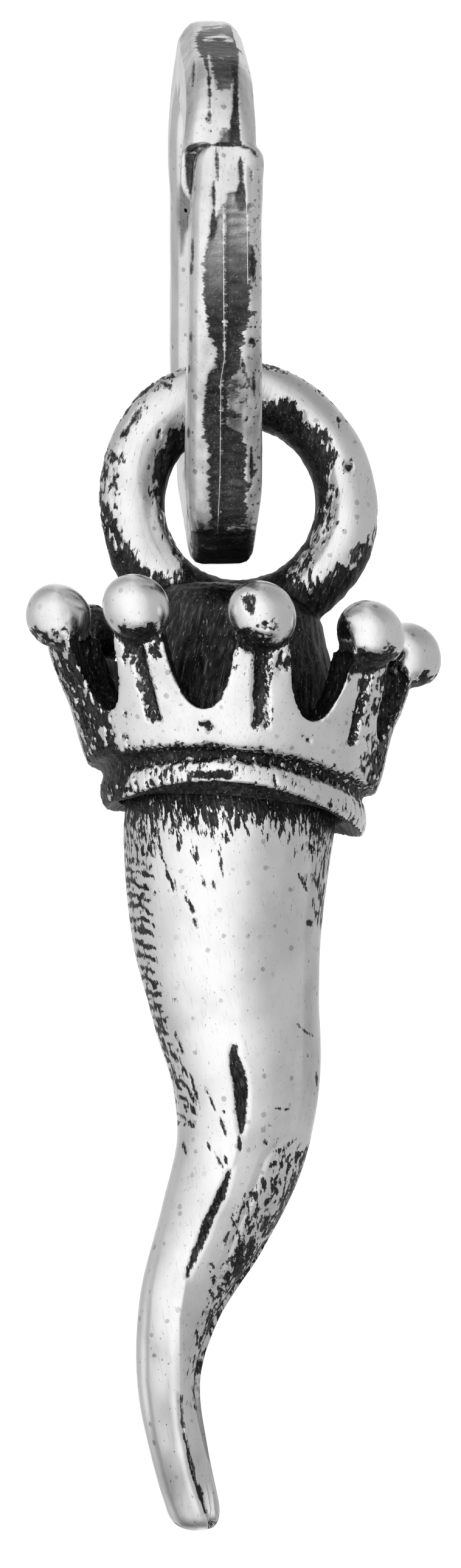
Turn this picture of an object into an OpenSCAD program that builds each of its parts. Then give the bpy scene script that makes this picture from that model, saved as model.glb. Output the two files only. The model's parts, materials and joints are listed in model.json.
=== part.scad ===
// Cornicello horn pendant: a curved silver horn under a ball-tipped crown,
// hung by a round eye from a lapped oval carrier ring.
// Millimetres. X runs to the right, Y away from the viewer and Z up.
// The origin is the point inside the top of the ring where it hangs.

/* [Carrier ring] */
// Length of the ring along the middle of its wire
ring_length = 11.1; // [10:0.1:14]
// Depth of the ring along the middle of its wire
ring_depth = 8; // [7:0.1:9]
// Bend radius at the middle of the wire
ring_bend = 1.6; // [1.5:0.1:2.2]
// Width of the ring wire from side to side, at the bottom of the ring
ring_w = 2.02; // [1.4:0.02:2.1]
// Share of that width that the wire loses towards the top of the ring
ring_taper_share = 0.14; // [0:0.01:0.2]
// Thickness of the ring wire from inside to outside
ring_t = 2.2; // [1.6:0.1:2.4]
// Lean of the ring, top towards the viewer
ring_lean = 28; // [0:1:30]
// Turn of the ring about its own length
ring_turn = 3; // [0:0.5:6]
// Height of the outer end's tip above the middle of the front bar
lap_height = 4.6; // [2:0.1:4.8]
// Length over which the two ends lap
lap_length = 1.1; // [0.8:0.1:1.6]
// Sideways step between the two lapped ends
lap_shift = 0.26; // [0:0.02:0.4]
// Gap between the two lapped ends
lap_gap = 0.08; // [0.05:0.01:0.12]

/* [Hanging eye] */
// Width of the round hole in the eye
eye_hole = 4.08; // [3.6:0.02:4.8]
// Thickness of the eye's round wire
eye_wire = 1.75; // [1.3:0.01:1.9]
// How far the eye's middle lies to the right of the ring
eye_offset = 0.6; // [0:0.05:0.7]
// Where the eye rests along the ring's lower bar, from its middle
seat_u = 0.3; // [-1:0.1:1]
// Running gap between the eye and the ring
seat_gap = 0.12; // [0.08:0.01:0.2]
// Widest radius of the foot that stands in the crown
foot_r = 2.9; // [2.4:0.05:3]
// Radius of the foot at its shoulder
foot_shoulder_r = 2.6; // [2:0.05:2.8]
// Height from the eye's lowest point up to the top of the foot
foot_rise = 1.5; // [1:0.05:1.7]

/* [Crown] */
// Number of points round the crown
points = 9; // [6:1:10]
// Radius of the circle through the middles of the balls
crown_r = 4.78; // [4.6:0.02:5.4]
// Height of the balls' middles above the crown's lower edge
crown_h = 4.6; // [4.4:0.1:5.6]
// Diameter of each ball
ball_d = 1.78; // [1.4:0.02:2]
// Radius of the band round the crown's foot
band_r = 3.6; // [3.4:0.02:3.8]
// Height of the band
band_h = 0.78; // [0.6:0.02:1]
// Thickness of the crown's wall
crown_wall = 1; // [0.8:0.05:1.1]
// Height of the floor inside the crown
floor_h = 2.1; // [1.9:0.05:2.4]
// Depth of the socket under the crown that takes the horn
socket_h = 1.1; // [0.9:0.05:1.3]
// Half width of the round-bottomed notches between the points
notch_r = 0.72; // [0.5:0.02:0.8]
// Height of the notches' lowest points
notch_h = 2.25; // [2.2:0.05:2.8]
// Width of the groove down the front of each point
flute_w = 0.36; // [0.2:0.02:0.5]
// Depth of that groove
flute_depth = 0.28; // [0.1:0.02:0.4]
// Turn of the first point from the right, towards the viewer
point_turn = 0; // [-22:1:22]
// Tilt of the crown, right side down
crown_tilt = 4.5; // [0:0.5:6]
// How far the crown's middle lies to the left of the eye's
crown_left = 0.19; // [0:0.01:0.4]
// Drop from the eye's lowest point to the crown's lower edge
crown_drop = 4.5; // [4.4:0.1:5.4]

/* [Horn] */
// Length of the horn, from its seat in the crown to its tip
horn_length = 19.7; // [15:0.1:26]
// Radius of the horn at its top
horn_r = 2.9; // [2.5:0.02:3]
// Thickness from front to back as a share of the width
horn_flat_share = 0.94; // [0.8:0.02:1]
// Length over which the horn's blunt tip is rounded off
tip_round = 0.8; // [0.4:0.1:1.2]
// Depth of the longest groove down the horn's front
crease_depth = 0.2; // [0:0.01:0.3]
// Gap round the horn in its socket
horn_gap = 0.1; // [0.06:0.01:0.14]
// Gap round the eye's foot where the crown's wall meets its floor
foot_gap = 0.1; // [0.04:0.01:0.2]
// Gap where one piece stands on another
seat_face_gap = 0.06; // [0.04:0.01:0.1]

/* [Hidden] */
$fn = 64;

// Wire section: across is a share of half the width, through runs from 0 at
// the inner face to 1 at the ridge of the outer face.
ACROSS = 0;
THROUGH = 1;
wire_section = [
    [0.45, 0.00], [0.82, 0.10], [1.00, 0.28], [1.00, 0.86], [0.74, 0.96], [0.00, 1.00],
    [-0.74, 0.96], [-1.00, 0.86], [-1.00, 0.28], [-0.82, 0.10], [-0.45, 0.00]
];

// Share of the wire's thickness that the inner end keeps where the ends lap.
lap_share = 0.55;
ring_a = ring_depth / 2 - ring_bend;
ring_b = ring_length / 2 - ring_bend;
bend_run = PI * ring_bend / 2;
ring_round = 4 * ring_a + 4 * ring_b + 4 * bend_run;
bend_steps = 8;
outer_tip = -lap_height;
// Corner radii of the two lapped ends, as shares of the wire's width.
outer_corner = 0.27 * ring_w;
inner_corner = 0.45 * ring_w;
corner_steps = 4;
shoulder_run = 0.12;

// The seat: how far the ring's inner face lies below the top of the eye's hole.
hole_r = eye_hole / 2;
wire_r = eye_wire / 2;
function hole_fall(x) = hole_r - sqrt(max(0, hole_r * hole_r - x * x));
seat_drop = seat_gap + max([
    for (p = wire_section)
        hole_fall(eye_offset + abs(p[ACROSS]) * ring_w / 2) - p[THROUGH] * ring_t
]);
seat_v = ring_t / 2 - ring_length / 2 + seat_drop + wire_r;

// The point inside the ring that is highest once it leans, and the seat from there.
inside_r = ring_bend - ring_t / 2;
hang = [ring_a + inside_r * sin(ring_lean), ring_b + inside_r * cos(ring_lean)];
seat = [seat_u, seat_v] - hang;
hinge = [
    eye_offset - seat[0] * sin(ring_turn),
    seat[0] * cos(ring_turn) * cos(ring_lean) - seat[1] * sin(ring_lean),
    seat[0] * cos(ring_turn) * sin(ring_lean) + seat[1] * cos(ring_lean)
];

eye_r = hole_r + wire_r;
eye_low = -eye_r - hole_r - eye_wire;
crown_base = eye_low - crown_drop;
socket_r = horn_r + horn_gap;
foot_top = crown_drop + foot_rise;
foot_shoulder_h = 1.2;

// The band's lower edge is cut back, its upper edge runs into a groove.
band_cut = 0.22;
band_shoulder = 0.85 * band_h;
groove_depth = 0.12;
groove_h = 0.22;

// Half width of a notch at its mouth, and where its cut starts.
notch_mouth = 1.9 * notch_r;
notch_from = band_r - 2 * crown_wall;

// Crown wall: height as a share of crown_h, reach as a share of the way out
// from the band's radius to the balls' circle.
HEIGHT = 0;
REACH = 1;
wall_rows = [
    [0.22, 0.15], [0.29, 0.28], [0.43, 0.41], [0.56, 0.57], [0.67, 0.74], [0.80, 0.97], [0.91, 1.13]
];

// Horn: down and side are shares of the length, radius of the top radius.
DOWN = 0;
SIDE = 1;
RADIUS = 2;
horn_rows = [
    [0.0, -0.007, 0.994], [0.1, -0.015, 0.953], [0.2, -0.016, 0.878], [0.3, -0.005, 0.779],
    [0.4, 0.010, 0.684], [0.5, 0.003, 0.591], [0.6, -0.033, 0.503], [0.7, -0.076, 0.382],
    [0.8, -0.093, 0.288], [0.9, -0.078, 0.257], [1.0, -0.052, 0.227]
];
horn_rings = 60;
horn_sides = 36;
// The rings' spacing follows a sine up to this angle, closest at the tip.
ring_spread_angle = 80;
// Share of the tip's width, squared, that the rounding takes away.
tip_share = 0.97;

// Creases on the horn's front: from and to are shares of the length, turns
// are degrees to the right of the front, wide is a share of the top radius
// and deep a share of crease_depth.
FROM = 0;
TO = 1;
TURN_FROM = 2;
TURN_TO = 3;
WIDE = 4;
DEEP = 5;
creases = [
    [0.320, 0.450, -7, -3, 0.090, 1.0],
    [0.490, 0.660, -6, -6, 0.060, 0.8],
    [0.800, 0.960, 18, 30, 0.045, 0.4]
];

// Where the middle of the wire is after a run of s down the front bar, under
// the ring, up its back and over its top: place in the plane, then the way
// that the outer face looks.
function on_bend(cu, cv, turn) =
    [cu + ring_bend * cos(turn), cv + ring_bend * sin(turn), turn];
function ring_place(s) =
    let (
        low = ring_b + bend_run,
        back = low + 2 * ring_a + bend_run,
        top = back + 2 * ring_b + bend_run,
        front = top + 2 * ring_a + bend_run
    )
    s < -ring_b ? on_bend(-ring_a, ring_b, 180 + 90 * (s + ring_b) / bend_run)
    : s < ring_b ? [-ring_depth / 2, -s, 180]
    : s < low ? on_bend(-ring_a, -ring_b, 180 + 90 * (s - ring_b) / bend_run)
    : s < low + 2 * ring_a ? [-ring_a + s - low, -ring_length / 2, 270]
    : s < back ? on_bend(ring_a, -ring_b, 360 + 90 * (s - back) / bend_run)
    : s < back + 2 * ring_b ? [ring_depth / 2, s - back - ring_b, 360]
    : s < top ? on_bend(ring_a, ring_b, 450 + 90 * (s - top) / bend_run)
    : s < top + 2 * ring_a ? [ring_a - s + top, ring_length / 2, 450]
    : s < front ? on_bend(-ring_a, ring_b, 540 + 90 * (s - front) / bend_run)
    : [-ring_depth / 2, ring_b - s + front, 540];

// Width left at a distance from a round-cornered end.
function end_width(d, corner) =
    d >= corner ? 1
    : 1 - (corner - sqrt(corner * corner - pow(corner - d, 2))) / (ring_w / 2);

// One ring of points: the wire's section between two shares of its thickness.
function wire_ring(s, inner, outer, width) =
    let (
        place = ring_place(s),
        side = lap_shift * (0.5 - s / ring_round),
        taper = 1 - ring_taper_share * (0.5 + place[1] / ring_length)
    )
    [for (p = wire_section)
        let (
            reach = ring_t * (inner + (outer - inner) * p[THROUGH] - 0.5),
            u = place[0] + reach * cos(place[2]),
            v = place[1] + reach * sin(place[2])
        )
        [side + p[ACROSS] * taper * width * ring_w / 2, u - hang[0], v - hang[1]]];

function bend_stations(start) =
    [for (k = [0:bend_steps]) start + bend_run * k / bend_steps];

module carrier_ring() {
    lap_inner = lap_share + lap_gap / ring_t;
    outer_full = outer_tip + lap_length + lap_gap;
    inner_step = ring_round + outer_tip - lap_gap;
    inner_tip = ring_round + outer_tip + lap_length;
    low = ring_b;
    under = low + bend_run + 2 * ring_a;
    back = under + bend_run + 2 * ring_b;
    over = back + bend_run + 2 * ring_a;
    front_top = [for (s = bend_stations(over)) if (s < inner_step - shoulder_run) s];
    rings = concat(
        [for (k = [0:corner_steps]) let (d = outer_corner * (1 - cos(90 * k / corner_steps)))
            wire_ring(outer_tip + d, lap_inner, 1, end_width(d, outer_corner))],
        [wire_ring(outer_full, lap_inner, 1, 1)],
        [wire_ring(outer_full + shoulder_run, 0, 1, 1)],
        [for (s = concat(bend_stations(low), bend_stations(under), bend_stations(back), front_top))
            wire_ring(s, 0, 1, 1)],
        [wire_ring(inner_step - shoulder_run / 4, 0, 1, 1)],
        [wire_ring(inner_step, 0, lap_share, 1)],
        [for (k = [corner_steps:-1:0]) let (d = inner_corner * (1 - cos(90 * k / corner_steps)))
            wire_ring(inner_tip - d, 0, lap_share, end_width(d, inner_corner))]
    );
    color("gray") rotate([ring_lean, 0, 0]) rotate([0, 0, ring_turn]) skin(rings);
}

// Closes a stack of equal rings of points into one solid.
module skin(rings) {
    n = len(rings[0]);
    last = (len(rings) - 1) * n;
    sides = [for (i = [0:len(rings) - 2], j = [0:n - 1])
        let (k = (j + 1) % n)
            each [[i * n + j, i * n + k, (i + 1) * n + k], [i * n + j, (i + 1) * n + k, (i + 1) * n + j]]];
    polyhedron(
        points = [for (ring = rings) each ring],
        faces = concat([[for (j = [n - 1:-1:0]) j]], sides, [[for (j = [0:n - 1]) last + j]]),
        convexity = 6
    );
}

// The crown's own frame: its lower edge at zero, tilted about its middle.
module in_crown() {
    translate(hinge + [-crown_left, 0, crown_base + crown_h / 2])
        rotate([0, crown_tilt, 0])
            translate([0, 0, -crown_h / 2])
                children();
}

module hanging_eye() {
    foot_base = floor_h + seat_face_gap;
    shoulder = [for (a = [0:15:90])
        [foot_shoulder_r * cos(a), foot_top - foot_shoulder_h * (1 - sin(a))]];
    color("silver") union() {
        translate(hinge - [0, 0, eye_r])
            rotate([90, 0, 0])
                rotate_extrude()
                    translate([eye_r, 0]) circle(wire_r);
        in_crown()
            rotate_extrude()
                polygon(concat([[0, foot_base], [foot_r, foot_base]], shoulder));
    }
}

function wall_r(row) = band_r + row[REACH] * (crown_r - band_r);

module crown() {
    outer = [for (row = wall_rows) [wall_r(row), row[HEIGHT] * crown_h]];
    inner = [for (k = [len(wall_rows) - 1:-1:0]) let (row = wall_rows[k])
        if (row[HEIGHT] * crown_h > floor_h) [wall_r(row) - crown_wall, row[HEIGHT] * crown_h]];
    color("silver") in_crown() difference() {
        union() {
            rotate_extrude() polygon(concat(
                [[0, socket_h], [socket_r, socket_h], [socket_r, 0], [band_r - band_cut, 0]],
                [[band_r, band_h / 2], [band_r, band_shoulder]],
                [[band_r - groove_depth, band_h], [band_r - groove_depth, band_h + groove_h]],
                outer, inner,
                [[foot_r + foot_gap, floor_h], [0, floor_h]]
            ));
            for (k = [0:points - 1])
                at_point(k) translate([crown_r, 0, crown_h]) sphere(ball_d / 2);
        }
        for (k = [0:points - 1]) {
            at_point(k + 0.5) notch();
            at_point(k) flute();
        }
    }
}

module at_point(k) {
    rotate([0, 0, -point_turn - 360 * k / points]) children();
}

// A round-bottomed notch that widens upwards, cut outwards through the wall.
module notch() {
    middle = notch_h + notch_r;
    brim = crown_h + ball_d;
    translate([notch_from, 0, 0]) rotate([90, 0, 90]) linear_extrude(crown_r) {
        translate([0, middle]) circle(notch_r);
        polygon([[-notch_r, middle], [notch_r, middle], [notch_mouth, brim], [-notch_mouth, brim]]);
    }
}

// A round-ended groove that follows the outward flare of a point.
module flute() {
    low = wall_rows[2];
    high = wall_rows[5];
    foot = [wall_r(low), low[HEIGHT] * crown_h];
    head = [wall_r(high), high[HEIGHT] * crown_h];
    run = norm(head - foot);
    flare = atan2(head[0] - foot[0], head[1] - foot[1]);
    translate([foot[0], 0, foot[1]]) rotate([0, flare, 0])
        translate([-flute_depth, 0, 0]) rotate([90, 0, 90]) linear_extrude(crown_wall) {
            translate([-flute_w / 2, 0]) square([flute_w, run]);
            circle(flute_w / 2);
            translate([0, run]) circle(flute_w / 2);
        }
}

// A smooth curve through the rows of a table, at t from 0 to 1.
function smooth_row(rows, t) =
    let (
        n = len(rows) - 1,
        i = min(n - 1, floor(t * n)),
        f = t * n - i,
        a = rows[max(0, i - 1)],
        b = rows[i],
        c = rows[i + 1],
        d = rows[min(n, i + 2)]
    )
    0.5 * (2 * b + (c - a) * f + (2 * a - 5 * b + 4 * c - d) * f * f + (3 * b - a - 3 * c + d) * f * f * f);

// How deep the creases cut at a share of the length and a turn from the front.
function crease_at(down, turn) = crease_depth * max(concat([0], [
    for (c = creases)
        let (
            along = (down - c[FROM]) / (c[TO] - c[FROM]),
            middle = c[TURN_FROM] + (c[TURN_TO] - c[TURN_FROM]) * along,
            off = abs(turn - middle) / (c[WIDE] * 180 / PI)
        )
        along > 0 && along < 1 && off < 1 ? c[DEEP] * sin(180 * along) * (1 - off) : 0
]));

// Share of the width left where the blunt tip is rounded off.
function tip_width(t) =
    let (into = 1 - (1 - t) * horn_length / tip_round)
    into <= 0 ? 1 : sqrt(1 - tip_share * into * into);

// The rings' places down the horn, closer together at the tip.
function horn_down(k) = sin(ring_spread_angle * k / horn_rings) / sin(ring_spread_angle);

function horn_ring(t) =
    let (
        row = smooth_row(horn_rows, t),
        before = smooth_row(horn_rows, max(0, t - 0.01)),
        after = smooth_row(horn_rows, min(1, t + 0.01)),
        lean = t == 0 ? crown_tilt
            : -atan2(after[SIDE] - before[SIDE], after[DOWN] - before[DOWN])
    )
    [for (j = [0:horn_sides - 1])
        let (
            turn = 360 * j / horn_sides - 180,
            r = row[RADIUS] * horn_r * tip_width(t) - crease_at(row[DOWN], turn),
            x = r * sin(turn),
            y = -r * cos(turn) * horn_flat_share
        )
        [row[SIDE] * horn_length + x * cos(lean), y, -row[DOWN] * horn_length - x * sin(lean)]];

module horn() {
    top = crown_base + socket_h - seat_face_gap - horn_r * sin(crown_tilt) / 2;
    color("silver") translate(hinge + [0, 0, top])
        skin([for (k = [0:horn_rings]) horn_ring(horn_down(k))]);
}

carrier_ring();
hanging_eye();
crown();
horn();
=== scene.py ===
# %% [markdown]
# A silver horn charm on its ring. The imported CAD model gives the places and
# sizes of the four pieces: the carrier ring, the hanging eye, the crown and the
# horn. Each is modelled again here as the jeweller's hands leave it: bent,
# cast, filed, blackened and then polished, so that the black stays only in the
# hollows. This first cell loads the frame.

# %% Load the frame
import json
import math
import bpy
import bmesh
import numpy as np
from mathutils import Matrix, Vector, noise


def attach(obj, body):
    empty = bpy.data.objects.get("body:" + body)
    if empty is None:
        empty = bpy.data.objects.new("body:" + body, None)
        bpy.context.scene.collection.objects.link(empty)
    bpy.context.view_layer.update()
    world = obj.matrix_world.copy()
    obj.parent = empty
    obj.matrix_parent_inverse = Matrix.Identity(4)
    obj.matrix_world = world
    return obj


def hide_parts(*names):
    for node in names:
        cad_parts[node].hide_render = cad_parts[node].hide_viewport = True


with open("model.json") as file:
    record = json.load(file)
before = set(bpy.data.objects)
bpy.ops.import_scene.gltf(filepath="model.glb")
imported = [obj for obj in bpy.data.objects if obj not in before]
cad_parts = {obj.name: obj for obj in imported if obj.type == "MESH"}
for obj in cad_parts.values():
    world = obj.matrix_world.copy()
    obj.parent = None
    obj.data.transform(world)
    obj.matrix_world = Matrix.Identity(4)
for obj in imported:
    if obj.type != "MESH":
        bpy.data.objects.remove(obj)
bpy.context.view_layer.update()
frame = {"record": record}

# %% [markdown]
# The charm is small, so it is modelled in millimetres, where Blender's voxel
# and merge distances work well, and each finished piece is scaled to metres.
# The ring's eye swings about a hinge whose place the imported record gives, and
# all the other places are measured from that hinge.

# %% Sizes, in millimetres
MM = 0.001
hinge = Vector(frame["record"]["behaviour"]["joints"][0]["pos_m"]) / MM
ring_length, ring_depth, ring_bend = 11.1, 8.0, 1.6
ring_w, ring_t, ring_taper = 2.02, 2.2, 0.14
ring_lean, ring_turn = math.radians(28), math.radians(3)
lap_height, lap_shift = 4.6, 0.26
eye_hole_r, eye_wire_r = 2.04, 0.875
eye_r = eye_hole_r + eye_wire_r
crown_base = -11.205
crown_h, crown_r, crown_tilt = 4.6, 4.78, math.radians(4.75)
ball_r, points = 0.89, 9
horn_length, horn_r = 19.7, 2.9
horn_top = -10.28
print("hinge, mm:", [round(x, 3) for x in hinge])

# %% [markdown]
# The camera comes early, because the black marks on the silver were read off
# the photograph. It stood close, and looked up by seven degrees. With its place
# known, a helper can say where each point of the charm is seen in the picture,
# and a mark can be put on the surface that shows it.

# %% Camera
photo_w, photo_h, pixel = 758, 2576, 0.0162
cam_distance, cam_pitch = 105.3, math.radians(7)
look_at = hinge + Vector((-0.21, 0, -10.45))
forward = Vector((0, math.cos(cam_pitch), math.sin(cam_pitch)))
upward = Vector((0, -math.sin(cam_pitch), math.cos(cam_pitch)))
lens_at = look_at - forward * cam_distance
bpy.ops.object.select_all(action="DESELECT")
bpy.ops.object.camera_add(location=lens_at * MM)
camera = bpy.context.object
camera.rotation_euler = (math.pi / 2 + cam_pitch, 0, 0)
camera.data.sensor_width = 36
camera.data.lens = 36 * cam_distance / (photo_h * pixel)
camera.data.clip_start, camera.data.clip_end = 0.001, 20
bpy.context.scene.camera = camera
bpy.context.scene.view_settings.view_transform = "Standard"
print("lens, mm:", round(camera.data.lens, 1))

# %% Where the photograph shows a place
def seen(places):
    """The photo's pixel, across and down, that shows each place in mm."""
    ray = places - np.array(lens_at)
    reach = ray @ np.array(forward)
    scale = cam_distance / (pixel * reach)
    return photo_w / 2 + ray[:, 0] * scale, photo_h / 2 - (ray @ np.array(upward)) * scale


def facing(places, normals):
    """How far each place faces the camera: 1 straight at it, below 0 away."""
    ray = np.array(lens_at) - places
    return np.sum(normals * ray, axis=1) / np.linalg.norm(ray, axis=1)


print("the hinge is seen at pixel:", [round(float(at[0])) for at in seen(np.array([hinge]))])

# %% [markdown]
# Small helpers do what a hand does between two steps: let go of everything,
# press the edit-mode key, and apply the modifiers.

# %% Helpers for modelling
def let_go():
    """Leaves edit mode and deselects everything."""
    if bpy.context.mode != "OBJECT":
        bpy.ops.object.mode_set(mode="OBJECT")
    bpy.ops.object.select_all(action="DESELECT")


def pick(obj):
    """Makes one object the selected and active one."""
    let_go()
    obj.select_set(True)
    bpy.context.view_layer.objects.active = obj
    return obj


def modify(obj, kind, **settings):
    """Adds a modifier with these settings and applies it."""
    pick(obj)
    mod = obj.modifiers.new(kind.title(), kind)
    for key, value in settings.items():
        setattr(mod, key, value)
    bpy.ops.object.modifier_apply(modifier=mod.name)


def circle(name, count, fill):
    """Adds a circle of vertices under this name and opens it for editing."""
    let_go()
    bpy.ops.mesh.primitive_circle_add(vertices=count, fill_type=fill)
    obj = bpy.context.object
    obj.name = obj.data.name = name
    bpy.ops.object.mode_set(mode="EDIT")
    return obj


def move_selected(obj, places):
    """Moves the selected vertices to these places."""
    mesh = bmesh.from_edit_mesh(obj.data)
    for vert, place in zip([v for v in mesh.verts if v.select], places):
        vert.co = place
    bmesh.update_edit_mesh(obj.data)


def close_up(merge=0.0):
    """Merges what lies closer than this, and turns all faces outwards."""
    bpy.ops.mesh.select_all(action="SELECT")
    if merge:
        bpy.ops.mesh.remove_doubles(threshold=merge)
    bpy.ops.mesh.normals_make_consistent(inside=False)
    bpy.ops.object.mode_set(mode="OBJECT")


def loft(name, rings):
    """Fills the first ring of points and extrudes it from ring to ring."""
    obj = circle(name, len(rings[0]), "NGON")
    for count, ring in enumerate(rings):
        if count:
            bpy.ops.mesh.extrude_region_move()
        move_selected(obj, ring)
    close_up()
    return obj


def lathe(name, profile, steps):
    """Turns a profile of (radius, height) round the upright axis."""
    obj = circle(name, len(profile), "NOTHING")
    move_selected(obj, [(radius, 0, height) for radius, height in profile])
    bpy.ops.mesh.spin(steps=steps, angle=2 * math.pi, center=(0, 0, 0), axis=(0, 0, 1))
    close_up(merge=0.0005)
    return obj


def join_as_one(obj, others, operation="UNION"):
    """Joins or cuts with other solids, then deletes them."""
    for other in others:
        modify(obj, "BOOLEAN", operation=operation, object=other, solver="EXACT")
        bpy.data.objects.remove(other)


def cast(obj, voxel, passes):
    """Melts the joined solids into one skin with soft inner corners."""
    modify(obj, "REMESH", mode="VOXEL", voxel_size=voxel)
    modify(obj, "SMOOTH", factor=0.5, iterations=passes)


# %% [markdown]
# A dent, a pit or a waving surface is made by moving the vertices of the fine
# skin, as a graver or a file would. These helpers read the skin as arrays, so
# that a rule can be worked out for all its vertices at once.

# %% Helpers for the skin
def skin(obj):
    """The places and normals of the vertices, as two arrays."""
    found = []
    for what in ("co", "normal"):
        values = np.empty(len(obj.data.vertices) * 3)
        obj.data.vertices.foreach_get(what, values)
        found.append(values.reshape(-1, 3))
    return found


def look(obj):
    """The vertices' places, where they are seen and how far they face the camera."""
    places, normals = skin(obj)
    return places, seen(places), facing(places, normals)


def put(obj, places):
    """Moves the vertices to these places."""
    obj.data.vertices.foreach_set("co", places.ravel())
    obj.data.update()


def sink(obj, depth):
    """Presses each vertex in by its depth."""
    places, normals = skin(obj)
    put(obj, places - normals * depth[:, None])


def grain(places, size, seed=0.0):
    """Smooth noise from -1 to 1, with lumps of this size in mm."""
    spots = places / np.broadcast_to(size, 3) + seed
    return np.array([noise.noise(spot) for spot in spots.tolist()])


def soft(low, high, x):
    """Rises smoothly from 0 at low to 1 at high, also where low is the larger."""
    t = np.clip((x - low) / (high - low), 0, 1)
    return t * t * (3 - 2 * t)


def read(rows, at, column=1):
    """Reads one column of a table, in straight runs between its rows."""
    return np.interp(at, [row[0] for row in rows], [row[column] for row in rows])


# %% [markdown]
# The silver was dipped in a blackening bath and polished. A polisher's wheel
# doesn't reach into grooves and pits, so black stays there, with edges torn by
# the wheel. The black areas are kept on each skin as one number: how many
# pixels of the photograph a vertex lies inside the black. Streaks are drawn as
# lines with a width, and wider areas as rows of a left and a right edge.

# %% Helpers for the black
black_reach = 60  # pixels from the edge of the black to where the kept number ends


def streaks(view, rows, taper=0.7):
    """Pixels inside the nearest streak: from x, y to x, y with a width."""
    x, y = view
    inside = np.full(len(x), -1.0 * black_reach)
    for x0, y0, x1, y1, wide in rows:
        run = max(0.001, math.hypot(x1 - x0, y1 - y0))
        ux, uy = (x1 - x0) / run, (y1 - y0) / run
        along = np.clip((x - x0) * ux + (y - y0) * uy, 0, run)
        off = np.hypot(x - x0 - along * ux, y - y0 - along * uy)
        thin = taper * (2 * along / run - 1) ** 2 if run > 1 else 0
        inside = np.maximum(inside, wide / 2 * (1 - thin) - off)
    return inside


LEFT, RIGHT = 1, 2


def patch(view, rows):
    """Pixels inside an area whose rows give y, its left and its right edge."""
    x, y = view
    sides = np.minimum(x - read(rows, y, LEFT), read(rows, y, RIGHT) - x)
    return np.minimum(sides, np.minimum(y - rows[0][0], rows[-1][0] - y))


def patches(view, areas):
    """Pixels inside the area that a place lies deepest in."""
    return np.maximum.reduce([patch(view, rows) for rows in areas])


def keep(obj, name, values):
    """Keeps a number with each vertex, under this name, for the material."""
    layer = obj.data.attributes.new(name, "FLOAT", "POINT")
    layer.data.foreach_set("value", np.clip(values, 0, 1))


def blacken(obj, inside, tear, painted_shade=0.0):
    """Keeps the pixels inside the black, how torn its edge is and the painted shade."""
    keep(obj, "black", 0.5 + inside / black_reach)
    keep(obj, "tear", tear + 0 * inside)
    keep(obj, "painted_shade", painted_shade + 0 * inside)
    share = round(float((inside > 0).mean()), 2)
    print(obj.name, "faces:", len(obj.data.polygons), "black share:", share)


# %% [markdown]
# The carrier ring is one bevelled silver wire, bent round into a long rounded
# loop whose two ends lap near the top. It is lofted: a face with the wire's
# section is extruded again and again along the bent path, and the table says
# what the section is. A modifier could bend a straight bar, but a loft lets
# the wire get thinner towards the lap.

# %% Wire section and path
def both_sides(rows):
    """Half an outline, and its mirror image back from the last row to the first."""
    return rows + [(-aside, along) for aside, along in rows[-2::-1]]


ACROSS, THROUGH = 0, 1
wire_section = both_sides([
    (0.45, 0.00), (0.82, 0.10), (1.00, 0.28), (1.00, 0.78), (0.93, 0.90), (0.78, 0.97), (0.56, 0.995),
    (0.00, 1.00),
])
bend_run = math.pi * ring_bend / 2
ring_a = ring_depth / 2 - ring_bend
ring_b = ring_length / 2 - ring_bend
ring_round = 4 * (ring_a + ring_b + bend_run)


def ring_place(s):
    """Place in the ring's plane after a run of s, and the way out there."""
    corner = [(-ring_a, ring_b), (-ring_a, -ring_b), (ring_a, -ring_b), (ring_a, ring_b)]
    s = (s + ring_b + bend_run) % ring_round
    for (u, v), turn, straight in zip(
        corner, (90, 180, 270, 360), (2 * ring_b, 2 * ring_a, 2 * ring_b, 2 * ring_a)
    ):
        angle = math.radians(turn + 90 * min(1, s / bend_run))
        out = Vector((math.cos(angle), math.sin(angle)))
        place = Vector((u, v)) + ring_bend * out
        if s <= bend_run:
            return place, out
        s -= bend_run
        if s <= straight:
            return place + s * Vector((-out.y, out.x)), out
        s -= straight
    return place, out


ring_left, foot_waist, foot_swell = 0.13, 0.14, 0.05
top_right, top_wide, top_soft = 0.14, 0.06, 0.3  # the top leans right, spreads and is soft


def wire_ring(s, low=0.0, high=1.1, width=1.0):
    """The wire's section at s, cut off at two shares of its thickness."""
    place, out = ring_place(s)
    at_foot, at_top = soft(-3.9, -5.2, place.y), soft(4.2, 5.4, place.y)
    side = lap_shift * (0.5 - s / ring_round) - ring_left + top_right * soft(3.0, 5.4, place.y)
    spread = top_wide * soft(1.5, 2.6, place.y) if s > ring_round / 2 else 0
    taper = (1 - ring_taper * (0.5 + place.y / ring_length)) * (1 - foot_waist * at_foot + spread)
    ring = []
    for point in wire_section:
        through = min(high, max(low, point[THROUGH] * (1 + foot_swell * at_foot)))
        spot = place + out * ring_t * (through - 0.5)
        across = point[ACROSS] * (1 - top_soft * at_top * max(0, point[THROUGH] - 0.7) / 0.3)
        ring.append((side + across * taper * width * ring_w / 2, spot.x, spot.y))
    return ring


def round_end(tip, way, roundness, low, high):
    """Sections that widen from a rounded tip, the way 1 or -1 along the wire."""
    sections = []
    for angle in range(0, 91, 15):
        turn = math.radians(angle)
        into = roundness * ring_w * (1 - math.cos(turn))
        width = max(0.1, 1 - 2 * roundness * (1 - math.sin(turn)))
        sections.append(wire_ring(tip + way * into, low, high, width))
    return sections


print("the wire's run round the ring, mm:", round(ring_round, 2))

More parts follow.
